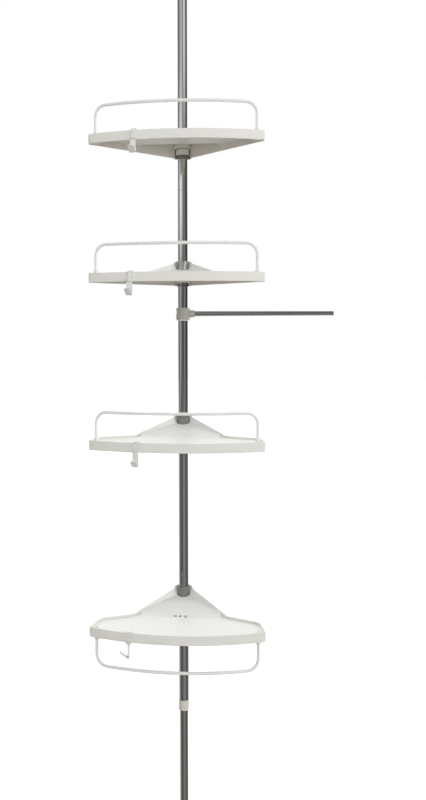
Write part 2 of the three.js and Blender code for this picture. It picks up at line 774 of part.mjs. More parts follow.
// Four shelves of the same moulding; the lowest carries its rail below the tray
function addShelves(parent) {
  const shared = {
    tray: makeTray(), collet: makeCollet(), lockRing: makeLockRing(), stopBand: makeStopBand(),
    rail: makeRail(), ferrule: makeFerrule(), clip: makeHookClip(), hook: makeHook(),
  }
  for (const [name, height] of Object.entries(shelfHeights)) {
    const shelf = new THREE.Group()
    shelf.position.z = height
    place(shelf, `${name}_tray`, shared.tray, materials.whitePlastic)
    place(shelf, `${name}_collet`, shared.collet, materials.darkPlastic)
    place(shelf, `${name}_lock_ring`, shared.lockRing, materials.whitePlastic)
    place(shelf, `${name}_stop_band`, shared.stopBand, materials.steel)
    const guard = new THREE.Group()
    guard.position.z = rimHeight / 2
    if (name === 'shelf_4') guard.rotation.y = Math.PI
    place(guard, `${name}_rail`, shared.rail, materials.whiteCoating)
    for (const [end, side] of [['left', -1], ['right', 1]]) {
      const ferrule = place(guard, `${name}_ferrule_${end}`, shared.ferrule, materials.whitePlastic)
      ferrule.position.set(side * postHalfSpan, -postDepth, 0)
    }
    shelf.add(guard)
    const carriage = new THREE.Group()
    carriage.position.y = frontArcCentre
    carriage.rotation.z = Math.asin((hookShares[name] * trayHalfWidth) / frontArcRadius)
    const atRim = new THREE.Group()
    atRim.position.y = -frontArcRadius
    place(atRim, `${name}_hook_clip`, shared.clip, materials.hookPlastic)
    const swivel = new THREE.Group()
    swivel.position.y = -hookPivotOut
    swivel.rotation.z = THREE.MathUtils.degToRad(hookTurnDegrees[name])
    place(swivel, `${name}_hook`, shared.hook, materials.hookPlastic)
    atRim.add(swivel)
    carriage.add(atRim)
    shelf.add(carriage)
    parent.add(shelf)
  }
}

// The towel bar, which points to the right
function addTowelBar(parent) {
  const towelBar = new THREE.Group()
  towelBar.position.z = towelBarHeight
  place(towelBar, 'bar_carrier', makeBarCarrier(), materials.hookPlastic)
  place(towelBar, 'bar_clamp', makeBarClamp(), materials.greyPlastic)
  place(towelBar, 'bar_rod', makeBarRod(), materials.steel)
  place(towelBar, 'bar_cap', makeBarCap(), materials.steel)
  parent.add(towelBar)
}

addLowerPost(unit)
addPole(unit)
addPlunger(unit)
addShelves(unit)
addTowelBar(unit)

export default unit
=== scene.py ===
# %% [markdown]
# # A shelf unit on a tension pole
# The real thing is a steel pole, pressed between floor and ceiling by a spring. It carries moulded
# corner trays with wire rails, small hooks and a towel bar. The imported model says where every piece
# is and how it moves. This lesson dresses it, one piece or one finish to a cell.

# %% Load the fixed frame
import math

import bmesh
import bpy
from mathutils import Matrix, Vector


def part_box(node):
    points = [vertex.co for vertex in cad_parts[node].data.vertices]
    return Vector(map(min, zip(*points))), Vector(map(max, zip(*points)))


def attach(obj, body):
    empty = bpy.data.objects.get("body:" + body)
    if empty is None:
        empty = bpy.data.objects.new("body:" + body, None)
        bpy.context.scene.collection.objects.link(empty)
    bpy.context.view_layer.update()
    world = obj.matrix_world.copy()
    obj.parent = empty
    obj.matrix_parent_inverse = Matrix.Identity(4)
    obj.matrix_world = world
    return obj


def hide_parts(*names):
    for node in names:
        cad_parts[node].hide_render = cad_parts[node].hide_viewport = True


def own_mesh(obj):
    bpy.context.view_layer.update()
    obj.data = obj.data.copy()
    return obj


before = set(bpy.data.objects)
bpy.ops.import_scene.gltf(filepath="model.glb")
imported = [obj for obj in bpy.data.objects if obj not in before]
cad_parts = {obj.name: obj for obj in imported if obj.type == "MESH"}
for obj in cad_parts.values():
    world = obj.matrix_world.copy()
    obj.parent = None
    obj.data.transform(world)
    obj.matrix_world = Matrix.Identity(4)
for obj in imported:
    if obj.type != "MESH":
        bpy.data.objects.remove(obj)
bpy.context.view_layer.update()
mm = 0.001

# %% [markdown]
# The camera stands a little to the right of the trays' front, at chest height, and looks level at the
# pole. A level camera keeps the pole upright in the picture, so the picture is moved down and to the
# right by the lens shift and not by a tilt. A trace of roll is left, as in a hand-levelled shot.

# %% Place the camera
scene = bpy.context.scene
camera_data = bpy.data.cameras.new("studio_camera")
camera_data.lens = 36.2
camera_data.sensor_width = 36
camera_data.shift_x = 0.0375
camera_data.shift_y = -0.0967
camera_data.clip_end = 60
camera = bpy.data.objects.new("studio_camera", camera_data)
distance, eye_height = 1809 * mm, 1099.1 * mm
yaw, roll = math.radians(4.9), math.radians(0.14)
camera.location = (distance * math.sin(yaw), -distance * math.cos(yaw), eye_height)
camera.rotation_euler = (math.radians(90), roll, yaw)
scene.collection.objects.link(camera)
scene.camera = camera
scene.view_settings.view_transform = "Standard"
print("camera", [round(v, 3) for v in camera.location])

# %% [markdown]
# Shader maths is easier to read as Python. Value wraps one output socket, and each operator adds the
# Math node it stands for. Finish is one material, or the world, with a single method that makes any
# other node: its type, its settings, then what goes into its sockets.

# %% Write shader maths as Python
class Value:
    """A number that varies over a surface, as the output socket that gives it."""

    def __init__(self, finish, socket):
        self.finish, self.socket = finish, socket

    def maths(self, operation, *values):
        return self.finish.node("ShaderNodeMath", {"operation": operation}, dict(enumerate(values)))

    def __add__(self, other):
        return self.maths("ADD", self, other)

    def __radd__(self, other):
        return self.maths("ADD", other, self)

    def __sub__(self, other):
        return self.maths("SUBTRACT", self, other)

    def __rsub__(self, other):
        return self.maths("SUBTRACT", other, self)

    def __mul__(self, other):
        return self.maths("MULTIPLY", self, other)

    def __rmul__(self, other):
        return self.maths("MULTIPLY", other, self)


class Finish:
    """One node tree: a material for a finish, or the world."""

    def __init__(self, owner, surface):
        owner.use_nodes = True
        self.owner, self.tree = owner, owner.node_tree
        self.surface = self.tree.nodes[surface]

    def node(self, kind, settings=(), inputs=(), output=0):
        node = self.tree.nodes.new(kind)
        settings = dict(settings)
        for place, colour in settings.pop("stops", ()):
            elements = node.color_ramp.elements
            there = [e for e in elements if e.position == place]
            element = there[0] if there else elements.new(place)
            element.color = (*colour, 1.0)
        for name, value in settings.items():
            setattr(node, name, value)
        for key, value in dict(inputs).items():
            self.feed(node.inputs[key], value)
        return Value(self, node.outputs[output])

    def feed(self, socket, value):
        if isinstance(value, Value):
            self.tree.links.new(value.socket, socket)
        else:
            socket.default_value = value

    def set(self, **sockets):
        for name, value in sockets.items():
            self.feed(self.surface.inputs[name.replace("_", " ")], value)

    def place(self, scale=(1, 1, 1)):
        where = self.node("ShaderNodeTexCoord", output=3)
        return self.node("ShaderNodeMapping", (), {0: where, 3: scale})

    def noise(self, scale, detail=2.0, stretch=(1, 1, 1), roughness=0.5):
        return self.node("ShaderNodeTexNoise", (), {
            "Vector": self.place(stretch), "Scale": scale, "Detail": detail, "Roughness": roughness})

    def blend(self, share, first, second):
        return self.node("ShaderNodeMix", {"data_type": "RGBA"}, {0: share, 6: first, 7: second}, output=2)

    def bump(self, height, distance):
        return self.node("ShaderNodeBump", (), {"Height": height, "Distance": distance, "Strength": 1.0})


def new_finish(name):
    return Finish(bpy.data.materials.new(name), "Principled BSDF")


def tone(red, green, blue):
    """A colour written as it looks on screen, from 0 to 255, turned into linear light."""
    shares = (red / 255, green / 255, blue / 255)
    linear = [v / 12.92 if v <= 0.04045 else ((v + 0.055) / 1.055) ** 2.4 for v in shares]
    return (*linear, 1.0)


print("a pale tone", [round(v, 3) for v in tone(240, 240, 236)])

# %% [markdown]
# The studio is a pale floor and an even white room. What the camera sees directly is white. What
# polished steel mirrors is the same room with its soft boxes and the darker gaps between them, and
# that is what draws the upright lines on the pole. So the world has a plain level that lights the
# object, and a banded one that only glossy rays see. Most of the light comes from behind and above,
# so the flat floors of the trays are the brightest and every slope towards the front is darker.

# %% Light the room
scene.world = bpy.data.worlds.new("studio_room")
room = Finish(scene.world, "Background")
seen_by = {"camera": 0, "glossy": 3, "transmission": 6}
paths = {name: room.node("ShaderNodeLightPath", output=i) for name, i in seen_by.items()}
direction = room.node("ShaderNodeTexCoord")
across = room.node("ShaderNodeSeparateXYZ", (), {0: direction}, output=0)
along = room.node("ShaderNodeSeparateXYZ", (), {0: direction}, output=1)
upward = room.node("ShaderNodeSeparateXYZ", (), {0: direction}, output=2)
round_turn = across.maths("ARCTAN2", across, 0 - along) * (1 / math.tau) + 0.5


def band(*levels):
    """What steel mirrors at one height: grey levels by azimuth, from behind over the front to behind."""
    azimuths = (-180, -121, -86, -57, -30, -6, 17, 40, 66, 95, 122, 146, 180)
    stops = [(0.5 + azimuth / 360, (level,) * 3) for azimuth, level in zip(azimuths, levels)]
    return room.node("ShaderNodeValToRGB", {"stops": stops}, {0: round_turn})


def above_height(low, high):
    """A share that grows from 0 to 1 between two heights of the direction."""
    return room.node("ShaderNodeMapRange", {"interpolation_type": "SMOOTHSTEP"}, {0: upward, 1: low, 2: high})


ceiling_band = band(0.5, 0.3, 0.1, 0.1, 0.1, 0.1, 0.1, 0.1, 0.1, 0.1, 0.1, 0.3, 0.5)
high_band = band(1.0, 0.3, 0.12, 0.4, 0.64, 0.46, 0.22, 1.0, 0.56, 0.05, 0.06, 0.6, 1.0)
upper_band = band(1.0, 0.3, 0.2, 1.0, 1.0, 0.5, 0.18, 0.22, 0.12, 0.03, 0.05, 0.7, 1.0)
level_band = band(1.0, 0.25, 0.14, 0.5, 0.18, 0.1, 0.06, 0.28, 0.13, 0.02, 0.04, 0.7, 1.0)
low_band = band(1.0, 0.9, 0.24, 0.12, 0.09, 0.18, 0.27, 0.22, 0.12, 0.12, 0.16, 0.7, 1.0)
bands = low_band
for low, high, next_band in ((-0.16, -0.03, level_band), (0.03, 0.15, upper_band),
                             (0.18, 0.33, high_band), (0.45, 0.7, ceiling_band)):
    bands = room.blend(above_height(low, high), bands, next_band)
plain_level = 0.32
mirrored = room.blend(paths["glossy"], (plain_level,) * 3 + (1,), bands)
clear_view = paths["camera"].maths("MAXIMUM", paths["camera"], paths["transmission"])
room.set(Color=room.blend(clear_view, mirrored, (1, 1, 1, 1)), Strength=1.0)
print("the room lights at", plain_level)

# %% [markdown]
# Four large soft boxes do most of the lighting: two raised behind the object and two low in front. The
# front one on the right is the stronger, so the rims grow lighter towards the towel bar. They are far
# away and wide, so each is a sun with a large angle. Steel doesn't mirror them, because the bands of
# the room already hold their bright lines.

# %% Hang the lamps
def add_lamp(name, strength, azimuth, elevation, softness):
    """A soft lamp far away. Azimuth 0 is in front of the trays and grows towards the towel bar."""
    lamp = bpy.data.lights.new(name, "SUN")
    lamp.energy = strength * math.pi
    lamp.angle = math.radians(softness)
    lamp_object = bpy.data.objects.new(name, lamp)
    a, e = math.radians(azimuth), math.radians(elevation)
    towards = Vector((math.sin(a) * math.cos(e), -math.cos(a) * math.cos(e), math.sin(e)))
    lamp_object.rotation_euler = towards.to_track_quat("Z", "Y").to_euler()
    lamp_object.visible_glossy = False
    scene.collection.objects.link(lamp_object)
    print(name, strength)


add_lamp("soft_box_behind_right", 0.66, 146, 25, 60)
add_lamp("soft_box_behind_left", 0.66, -146, 25, 60)
add_lamp("soft_box_right", 0.74, 54, 4, 50)
add_lamp("soft_box_left", 0.34, -40, 5, 60)

# %% [markdown]
# The floor is one plain pale sheet that keeps the object's shadow. The camera sees it nearly white,
# with a little glow of its own, so that it meets the white room without a line. The light it throws
# up at the object is duller and warmer, and gives the underside of the highest tray its tone.

# %% Lay the floor
floor_finish = new_finish("studio_floor")
camera_ray = floor_finish.node("ShaderNodeLightPath", output=0)
floor_finish.set(Roughness=0.9, Specular_IOR_Level=0.0)
floor_finish.set(Base_Color=floor_finish.blend(camera_ray, (0.31, 0.28, 0.245, 1), (0.9, 0.9, 0.9, 1)),
                 Emission_Color=floor_finish.blend(camera_ray, (0, 0, 0, 1), (0.24, 0.24, 0.24, 1)),
                 Emission_Strength=1.0)
floor_mesh = bmesh.new()
bmesh.ops.create_circle(floor_mesh, cap_ends=True, segments=64, radius=14)
floor_data = bpy.data.meshes.new("studio_floor")
floor_mesh.to_mesh(floor_data)
floor_mesh.free()
floor_data.materials.append(floor_finish.owner)
studio_floor = bpy.data.objects.new("studio_floor", floor_data)
studio_floor.visible_glossy = False
scene.collection.objects.link(studio_floor)
print("floor", studio_floor.dimensions[:2])

# %% [markdown]
# The trays are moulded in a slightly warm white plastic. Such a moulding is never quite flat in tone:
# it carries a faint cloudiness, a satin skin that is glossier where hands and bottles rub it, and a
# very fine orange-peel grain.

# %% White moulded plastic
tray_white = new_finish("white_moulding")
cloud = tray_white.noise(7.0, 3.0)
grain = tray_white.noise(900.0, 2.0)
wear = tray_white.noise(60.0, 4.0)
tray_white.set(
    Base_Color=tray_white.blend(cloud, tone(243, 242, 237), tone(236, 236, 232)),
    Roughness=0.34 + 0.16 * wear,
    Normal=tray_white.bump(grain + 0.4 * wear, 0.00006),
    IOR=1.5,
)
print(tray_white.owner.name)

# %% [markdown]
# The rails are wire dipped in a white coating. The dip leaves a smooth, glossy skin with slow waves
# where it ran before it set.

# %% White dipped coating
rail_white = new_finish("white_coating_on_wire")
runs = rail_white.noise(35.0, 3.0, (1, 1, 0.4))
specks = rail_white.noise(420.0, 2.0)
rail_white.set(
    Base_Color=rail_white.blend(runs, tone(246, 246, 245), tone(242, 242, 241)),
    Roughness=0.46 + 0.1 * runs,
    Normal=rail_white.bump(runs + 0.1 * specks, 0.00001),
)
print(rail_white.owner.name)

# %% [markdown]
# Drawn steel tube keeps the marks of the die: hair-thin lines that run the whole length and differ
# from one side to the other. Noise stretched along the tube gives them, once for the tone and once,
# finer, for the roughness and the relief.

# %% Drawn steel
def drawn_steel(name, light, dark, smooth, rough, axis=2, metallic=1.0):
    steel = new_finish(name)
    lines = steel.noise(1.0, 3.0, [0.9 if i == axis else 520 for i in range(3)], 0.6)
    hairs = steel.noise(1.0, 2.0, [3.5 if i == axis else 2600 for i in range(3)], 0.5)
    breath = steel.noise(14.0, 3.0)
    steel.set(
        Base_Color=steel.blend(lines * 0.75 + hairs * 0.25, dark, light),
        Metallic=metallic,
        Roughness=smooth + (rough - smooth) * (0.5 * hairs + 0.5 * breath),
        Normal=steel.bump(lines * 0.6 + hairs * 0.4, 0.00003),
    )
    print(name)
    return steel


pole_steel = drawn_steel("drawn_pole_steel", tone(234, 234, 231), tone(206, 206, 203), 0.05, 0.12)
lower_steel = drawn_steel("drawn_lower_steel", tone(228, 226, 218), tone(200, 198, 190), 0.1, 0.2)
rod_steel = drawn_steel("drawn_rod_steel", tone(214, 214, 212), tone(184, 184, 182), 0.16, 0.28, axis=0)
band_steel = drawn_steel("darkened_band_steel", tone(168, 168, 164), tone(132, 132, 128), 0.2, 0.34)
spring_wire = drawn_steel("spring_wire", tone(180, 180, 182), tone(130, 130, 132), 0.25, 0.4)

# %% [markdown]
# The small mouldings come in a grey satin plastic, with a lighter copy of it for the height lock's collar:
# painted light, so that the collar shows lighter than the light on it makes it. The ribbed nuts are a glossy
# white, painted a little whiter than the trays to make up for the trays' shade over them. Hooks and clips are a
# pale, slightly clear plastic, and the collets a smoky clear one, dark at their edges and with the pole's lines
# showing through. They share one recipe: a tone that wanders a little, a grain in the skin and a roughness that
# follows both.

# %% Small plastic mouldings
def small_moulding(name, light, dark, roughness, grain_size, **sockets):
    plastic = new_finish(name)
    cloud = plastic.noise(45.0, 3.0)
    grain = plastic.noise(grain_size, 2.0)
    plastic.set(
        Base_Color=plastic.blend(cloud, light, dark),
        Roughness=roughness + 0.14 * cloud,
        Normal=plastic.bump(grain + 0.5 * cloud, 0.00005),
        **sockets,
    )
    print(name)
    return plastic


grey_moulding = small_moulding("grey_moulding", tone(190, 190, 180), tone(168, 168, 160), 0.4, 1400.0)
# Painted light: the collar gets a lighter copy of the grey moulding, so it shows lighter than the light on it
# makes it.
collar_grey_painted_lighter = small_moulding("collar_grey_painted_lighter", tone(230, 229, 220), tone(212, 211, 203), 0.4, 1400.0)
# The nuts are white plastic with a real glossy coat; their tone is painted a little whiter than the trays' to
# make up for the trays' shade over them.
nut_white_painted_lighter = small_moulding("glossy_white_painted_lighter", tone(250, 250, 246), tone(244, 244, 240), 0.12, 900.0,
                           Coat_Weight=1.0)
clear_moulding = small_moulding("clear_moulding", tone(248, 250, 247), tone(242, 244, 240), 0.2, 700.0,
                                Transmission_Weight=0.1)
smoky_moulding = small_moulding("smoky_clear_moulding", tone(200, 200, 196), tone(184, 184, 180), 0.04, 1400.0,
                                Transmission_Weight=0.75)
pad_rubber = small_moulding("pad_rubber", tone(66, 66, 66), tone(48, 48, 49), 0.72, 800.0)

# %% [markdown]
# Nearly everything on the pole is round, so it is turned: an outline of radius and height is drawn
# once and spun about the pole's axis. Sharp corners are then bevelled, because no moulded or cut
# edge is really sharp, and the bevel catches the light that shows where a piece ends. A Weighted
# Normal modifier lets the large faces set the shading, so a long tube mirrors the room straight and
# a flat floor stays even, right up to the bevel.

# %% Turn, soften and place pieces
round_steps = 72


def soften(bm, width, segments=3, limit=25):
    """Rounds every edge that turns by more than the limit in degrees."""
    sharp = [e for e in bm.edges if len(e.link_faces) == 2 and e.calc_face_angle() > math.radians(limit)]
    bmesh.ops.bevel(bm, geom=sharp, offset=width * mm, offset_type="OFFSET", segments=segments, profile=0.5,
                    affect="EDGES", clamp_overlap=True, material=-1)


def turned(outline, steps=round_steps, gap=0.0):
    """Spins an outline of [radius, height] in millimetres. A gap in degrees splits the ring at the back."""
    bm = bmesh.new()
    points = [bm.verts.new((r * mm, 0, z * mm)) for r, z in outline]
    solid_core = min(r for r, z in outline) == 0
    loop = list(zip(points, points[1:])) + ([] if solid_core else [(points[-1], points[0])])
    lines = [bm.edges.new(pair) for pair in loop]
    if gap:
        face = bm.faces.new(points)
        to_gap = Matrix.Rotation(math.radians(90 + gap / 2), 3, "Z")
        bmesh.ops.rotate(bm, cent=(0, 0, 0), matrix=to_gap, verts=points)
        bmesh.ops.spin(bm, geom=[*points, *lines, face], cent=(0, 0, 0), axis=(0, 0, 1),
                       angle=math.radians(360 - gap), steps=steps, use_merge=False)
    else:
        bmesh.ops.spin(bm, geom=[*points, *lines], cent=(0, 0, 0), axis=(0, 0, 1), angle=2 * math.pi,
                       steps=steps, use_merge=True)
    bmesh.ops.remove_doubles(bm, verts=bm.verts, dist=0.002 * mm)
    bmesh.ops.recalc_face_normals(bm, faces=bm.faces)
    return bm


def add_piece(name, bm, body, finish, slot, *nodes, crease=32):
    """Makes an object of a finished mesh, lets it ride on its body and stand for its CAD nodes."""
    bmesh.ops.recalc_face_normals(bm, faces=bm.faces)
    for edge in bm.edges:
        edge.smooth = edge.calc_face_angle(0) < math.radians(crease)
    for face in bm.faces:
        face.smooth = True
    open_edges = sum(1 for e in bm.edges if len(e.link_faces) != 2)
    mesh = bpy.data.meshes.new(name)
    bm.to_mesh(mesh)
    bm.free()
    mesh.materials.append(finish.owner)
    piece = bpy.data.objects.new(name, mesh)
    even = piece.modifiers.new("even_shading", "WEIGHTED_NORMAL")
    even.keep_sharp = True
    scene.collection.objects.link(piece)
    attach(piece, body)
    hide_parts(*nodes)
    print(f"{name}: {len(mesh.polygons)} faces, {open_edges} open edges")
    return piece


def ends(node):
    """The lowest and the highest point of a CAD node, in millimetres."""
    return [corner.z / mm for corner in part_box(node)]


# %% [markdown]
# The foot is a white cup on a rubber pad. The ceiling end is much the same pair upside down, so one
# function makes both. The picture ends at bare tube just above the floor, so the foot's cup is low,
# and the one at the ceiling is deeper, because it takes the sprung tube.

# %% The foot and the ceiling end
pad_height, foot_cup_height, ceiling_cup_height = 4, 14.4, 26
pad_radius, cup_radius = 24.5, 23.9
lower_radius, plunger_radius = 9.5, 8


def make_pad():
    bm = turned([(0, 0.8), (15, 0.8), (16.5, 0), (pad_radius, 0), (pad_radius, pad_height), (0, pad_height)])
    soften(bm, 0.7)
    return bm


def make_cup(tube_radius, cup_height):
    bore, floor, top = tube_radius + 0.3, pad_height + 4, pad_height + cup_height
    neck, rise = bore + 2.4, cup_height / ceiling_cup_height
    bm = turned([
        (0, pad_height + 0.3), (cup_radius, pad_height + 0.3), (cup_radius, pad_height + 5.5 * rise),
        (cup_radius - 1.6, pad_height + 7 * rise), ((cup_radius + neck) / 2 - 0.6, pad_height + 9.6 * rise),
        (neck + 2.2, pad_height + 14 * rise), (neck, pad_height + 20 * rise), (neck, top - 2.4),
        (neck + 0.7, top - 2), (neck + 0.7, top), (bore, top), (bore, floor), (0, floor)])
    soften(bm, 0.6, 3, 18)
    return bm


def turn_over(bm, height):
    bmesh.ops.rotate(bm, cent=(0, 0, 0), matrix=Matrix.Rotation(math.pi, 3, "X"), verts=bm.verts)
    bmesh.ops.translate(bm, vec=(0, 0, height), verts=bm.verts)
    return bm


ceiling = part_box("ceiling_pad")[1].z
foot_cup = make_cup(lower_radius, foot_cup_height)
ceiling_cup = turn_over(make_cup(plunger_radius, ceiling_cup_height), ceiling)
add_piece("foot_rubber", make_pad(), "lower_post", pad_rubber, "rubber", "floor_pad")
add_piece("foot_socket", foot_cup, "lower_post", tray_white, "white_plastic", "foot_cup")
add_piece("top_rubber", turn_over(make_pad(), ceiling), "plunger", pad_rubber, "rubber", "ceiling_pad")
add_piece("top_socket", ceiling_cup, "plunger", tray_white, "white_plastic", "ceiling_cup")

# %% [markdown]
# The pole is three lengths of tube that meet flush over inner couplers, and it slides on a slimmer
# lower tube. Each cut end has a fine burr taken off, which is a bevel of two tenths.

# %% The tubes
pole_radius, coupler_radius, pole_wall = 11.1, 10.1, 0.7


def make_tube(node, outer, thickness):
    low, high = ends(node)
    bm = turned([(outer - thickness, low), (outer, low), (outer, high), (outer - thickness, high)])
    soften(bm, 0.2, 2)
    return bm


for name, node, outer, thickness, body, steel, slot in (
        ("lower_post_tube", "lower_tube", lower_radius, 0.7, "lower_post", lower_steel, "lower_steel"),
        ("pole_tube_1", "pole_section_1", pole_radius, pole_wall, "main_pole", pole_steel, "pole_steel"),
        ("pole_tube_2", "pole_section_2", pole_radius, pole_wall, "main_pole", pole_steel, "pole_steel"),
        ("pole_tube_3", "pole_section_3", pole_radius, pole_wall, "main_pole", pole_steel, "pole_steel"),
        ("inner_sleeve_1", "pole_coupler_1", coupler_radius, 1.2, "main_pole", lower_steel, "lower_steel"),
        ("inner_sleeve_2", "pole_coupler_2", coupler_radius, 1.2, "main_pole", lower_steel, "lower_steel"),
        ("sprung_tube", "plunger_tube", plunger_radius, 0.8, "plunger", lower_steel, "lower_steel")):
    add_piece(name, make_tube(node, outer, thickness), body, steel, slot, node)

# %% [markdown]
# Where the pole ends over the lower tube, a grey collar screws onto a white insert and squeezes it.
# Inside, a plug in the lower tube carries a split ring that grips the pole's wall.

# %% The height lock
collar_low, collar_high = ends("lock_collar")
lower_bore, collar_bore, collar_waist, collar_radius = 9.75, 10.75, 11.5, 11.9
bm = turned([
    (lower_bore, collar_low), (collar_radius, collar_low), (collar_radius, collar_low + 2.4),
    (collar_waist, collar_low + 3.2), (collar_waist, collar_high - 3.2), (collar_radius, collar_high - 2.4),
    (collar_radius, collar_high), (collar_bore, collar_high), (collar_bore, collar_low + 1.7),
    (lower_bore, collar_low + 1.7)])
soften(bm, 0.35, 3)
# The collar's lighter grey is painted light.
add_piece("height_lock_collar", bm, "lock_collar_body", collar_grey_painted_lighter, "grey_plastic", "lock_collar")

insert_low, insert_shoulder, insert_high = 233.6, 253.4, 269.4
bm = turned([
    (lower_bore, insert_low), (10.5, insert_low), (10.5, insert_shoulder), (10.15, insert_shoulder),
    (10.15, insert_high), (lower_bore, insert_high)])
soften(bm, 0.1, 2)
add_piece("threaded_insert", bm, "main_pole", tray_white, "white_plastic", "collar_insert")

plug_low, tube_end, groove_low, groove_high, plug_high = 536, 560.3, 562.8, 577.4, 580.4
bm = turned([
    (0, plug_low), (8.5, plug_low), (8.5, tube_end), (lower_radius, tube_end), (lower_radius, groove_low),
    (6.4, groove_low), (6.4, groove_high), (lower_radius, groove_high), (lower_radius, plug_high),
    (0, plug_high)])
soften(bm, 0.3)
add_piece("grip_plug", bm, "lower_post", tray_white, "white_plastic", "lower_plug")

ring_bore, ring_low, ring_high = 6.7, 563.1, 577.1
bm = turned([
    (ring_bore, ring_low), (9.35, ring_low), (10.15, 563.9), (10.15, 576.3), (9.35, ring_high),
    (ring_bore, ring_high)], gap=14)
soften(bm, 0.2, 2)
add_piece("split_grip_ring", bm, "lower_post", grey_moulding, "grey_plastic", "grip_ring")

# %% [markdown]
# The top of the pole holds a compression spring under a plunger. A spring is a circle carried round
# and up at once, which is what the spin operator does when it is given a step along its axis. The
# last turn at each end lies flat, so the coil is made in three spins.

# %% The spring and its guides
spring_low, spring_high = ends("tension_spring")
wire, coil_radius, turn_steps, free_turns = 0.9, 7.6, 28, 8


def make_spring():
    bm = bmesh.new()
    across_wire = Matrix.Rotation(math.radians(90), 4, "X")
    start = Matrix.Translation((coil_radius * mm, 0, (spring_low + wire) * mm))
    bmesh.ops.create_circle(bm, cap_ends=True, segments=10, radius=wire * mm, matrix=start @ across_wire)
    free_height = spring_high - spring_low - 2 * wire
    turns = [(1, 2 * wire), (free_turns, free_height - 4 * wire), (1, 2 * wire)]
    for number, (count, rise) in enumerate(turns):
        last = [g for g in bm.faces if g.select] or list(bm.faces)
        steps = count * turn_steps
        made = bmesh.ops.spin(bm, geom=last, cent=(0, 0, 0), axis=(0, 0, 1), dvec=(0, 0, rise * mm / steps),
                              angle=2 * math.pi * count, steps=steps)
        if number:
            bmesh.ops.delete(bm, geom=last, context="FACES_ONLY")
        for face in bm.faces:
            face.select = False
        for item in made["geom_last"]:
            if isinstance(item, bmesh.types.BMFace):
                item.select = True
    bmesh.ops.remove_doubles(bm, verts=bm.verts, dist=0.01 * mm)
    return bm


def make_disc(node, radius, rounding):
    low, high = ends(node)
    bm = turned([(0, low), (radius, low), (radius, high), (0, high)])
    soften(bm, rounding)
    return bm


spring = add_piece("pole_spring", make_spring(), "main_pole", spring_wire, "spring_steel", "tension_spring",
                   crease=60)
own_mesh(spring)

seat_disc, stop_disc = make_disc("spring_seat", 10.1, 0.6), make_disc("plunger_stop", 9.9, 0.5)
add_piece("spring_rest", seat_disc, "main_pole", tray_white, "white_plastic", "spring_seat")
add_piece("plunger_foot", stop_disc, "plunger", tray_white, "white_plastic", "plunger_stop")

bush_bore, bush_low, pole_end, bush_high = 8.25, 1880, 1900.3, 1906
bm = turned([
    (bush_bore, bush_low), (10.1, bush_low), (10.1, pole_end), (12.4, pole_end), (12.4, 1903.6),
    (11.2, bush_high), (bush_bore, bush_high)])
soften(bm, 0.5)
add_piece("pole_top_bush", bm, "main_pole", tray_white, "white_plastic", "guide_bush")

# %% [markdown]
# Each tray hangs on a split cone, the collet, that its weight wedges against the pole. Under it come
# a ribbed nut and a steel band. The nut's ribs are faces of a round wall, every other one pushed
# out: an extrusion of single faces, as in the editor's extrude along normals.

# %% Collet, nut and band
shelves = ("shelf_1", "shelf_2", "shelf_3", "shelf_4")
heights = {name: ends(f"{name}_tray")[0] for name in shelves}
pole_bore, sleeve_low, sleeve_radius = 11.35, 6.2, 12.5
cone_low, cone_high, cone_wide, cone_narrow = 20.4, 54.6, 16.2, 15.2


def lift(bm, height):
    bmesh.ops.translate(bm, vec=(0, 0, height * mm), verts=bm.verts)
    return bm


def make_collet():
    bm = turned([(pole_bore, sleeve_low), (sleeve_radius, sleeve_low), (sleeve_radius, cone_low),
                 (cone_wide, cone_low), (cone_narrow, cone_high), (pole_bore, cone_high)], gap=5)
    soften(bm, 0.4, 3)
    return bm


def make_lock_nut():
    inner, outer, rib_radius, high, ribs = 12.8, 14.0, 14.85, 19.4, 14
    bm = turned([(inner, sleeve_low), (outer, sleeve_low), (outer, high), (inner, high)], steps=ribs * 4)
    outside = [f for f in bm.faces if abs(f.normal.z) < 0.1
               and f.calc_center_median().xy.length > (inner + outer) / 2 * mm]
    outside.sort(key=lambda f: math.atan2(f.calc_center_median().y, f.calc_center_median().x))
    for rib in range(ribs):
        pair = [outside[4 * rib], outside[4 * rib + 1]]
        made = bmesh.ops.extrude_face_region(bm, geom=pair)
        for item in made["geom"]:
            if isinstance(item, bmesh.types.BMVert):
                item.co.xy *= rib_radius / outer
        bmesh.ops.delete(bm, geom=pair, context="FACES")
    bmesh.ops.remove_doubles(bm, verts=bm.verts, dist=0.002 * mm)
    bmesh.ops.recalc_face_normals(bm, faces=bm.faces)
    soften(bm, 0.18, 2, 40)
    return bm


def make_stop_band():
    bm = turned([(pole_bore, -2), (13.6, -2), (13.6, 5.6), (pole_bore, 5.6)], gap=8)
    soften(bm, 0.35, 3)
    return bm


for name in shelves:
    collet, nut, stop_band = (
        lift(make(), heights[name]) for make in (make_collet, make_lock_nut, make_stop_band))
    add_piece(f"{name}_cone", collet, f"{name}_mount", smoky_moulding, "dark_plastic", f"{name}_collet")
    # The nut's extra whiteness is painted light against the tray's shade.
    add_piece(f"{name}_ribbed_nut", nut, f"{name}_lock_ring_body", nut_white_painted_lighter, "white_plastic",
              f"{name}_lock_ring")
    add_piece(f"{name}_band", stop_band, f"{name}_mount", band_steel, "pole_steel", f"{name}_stop_band")

# %% [markdown]
# The tray is the piece that takes most skill. It is one thin moulding: a rim that follows a shallow
# arc, a flat floor, and a raised back that ramps up to the hub between two steep flanks. It could be
# folded up from one sheet of faces, but its walls, ridges and hub cross each other, so it is built
# the way a mould is: solid blocks are added and cut by Boolean, and the edges are rounded last. The
# scuffed pole shows the highest tray's underside as a dark smear but hardly shows the lower trays'
# floors, so those three are kept out of the mirror image.

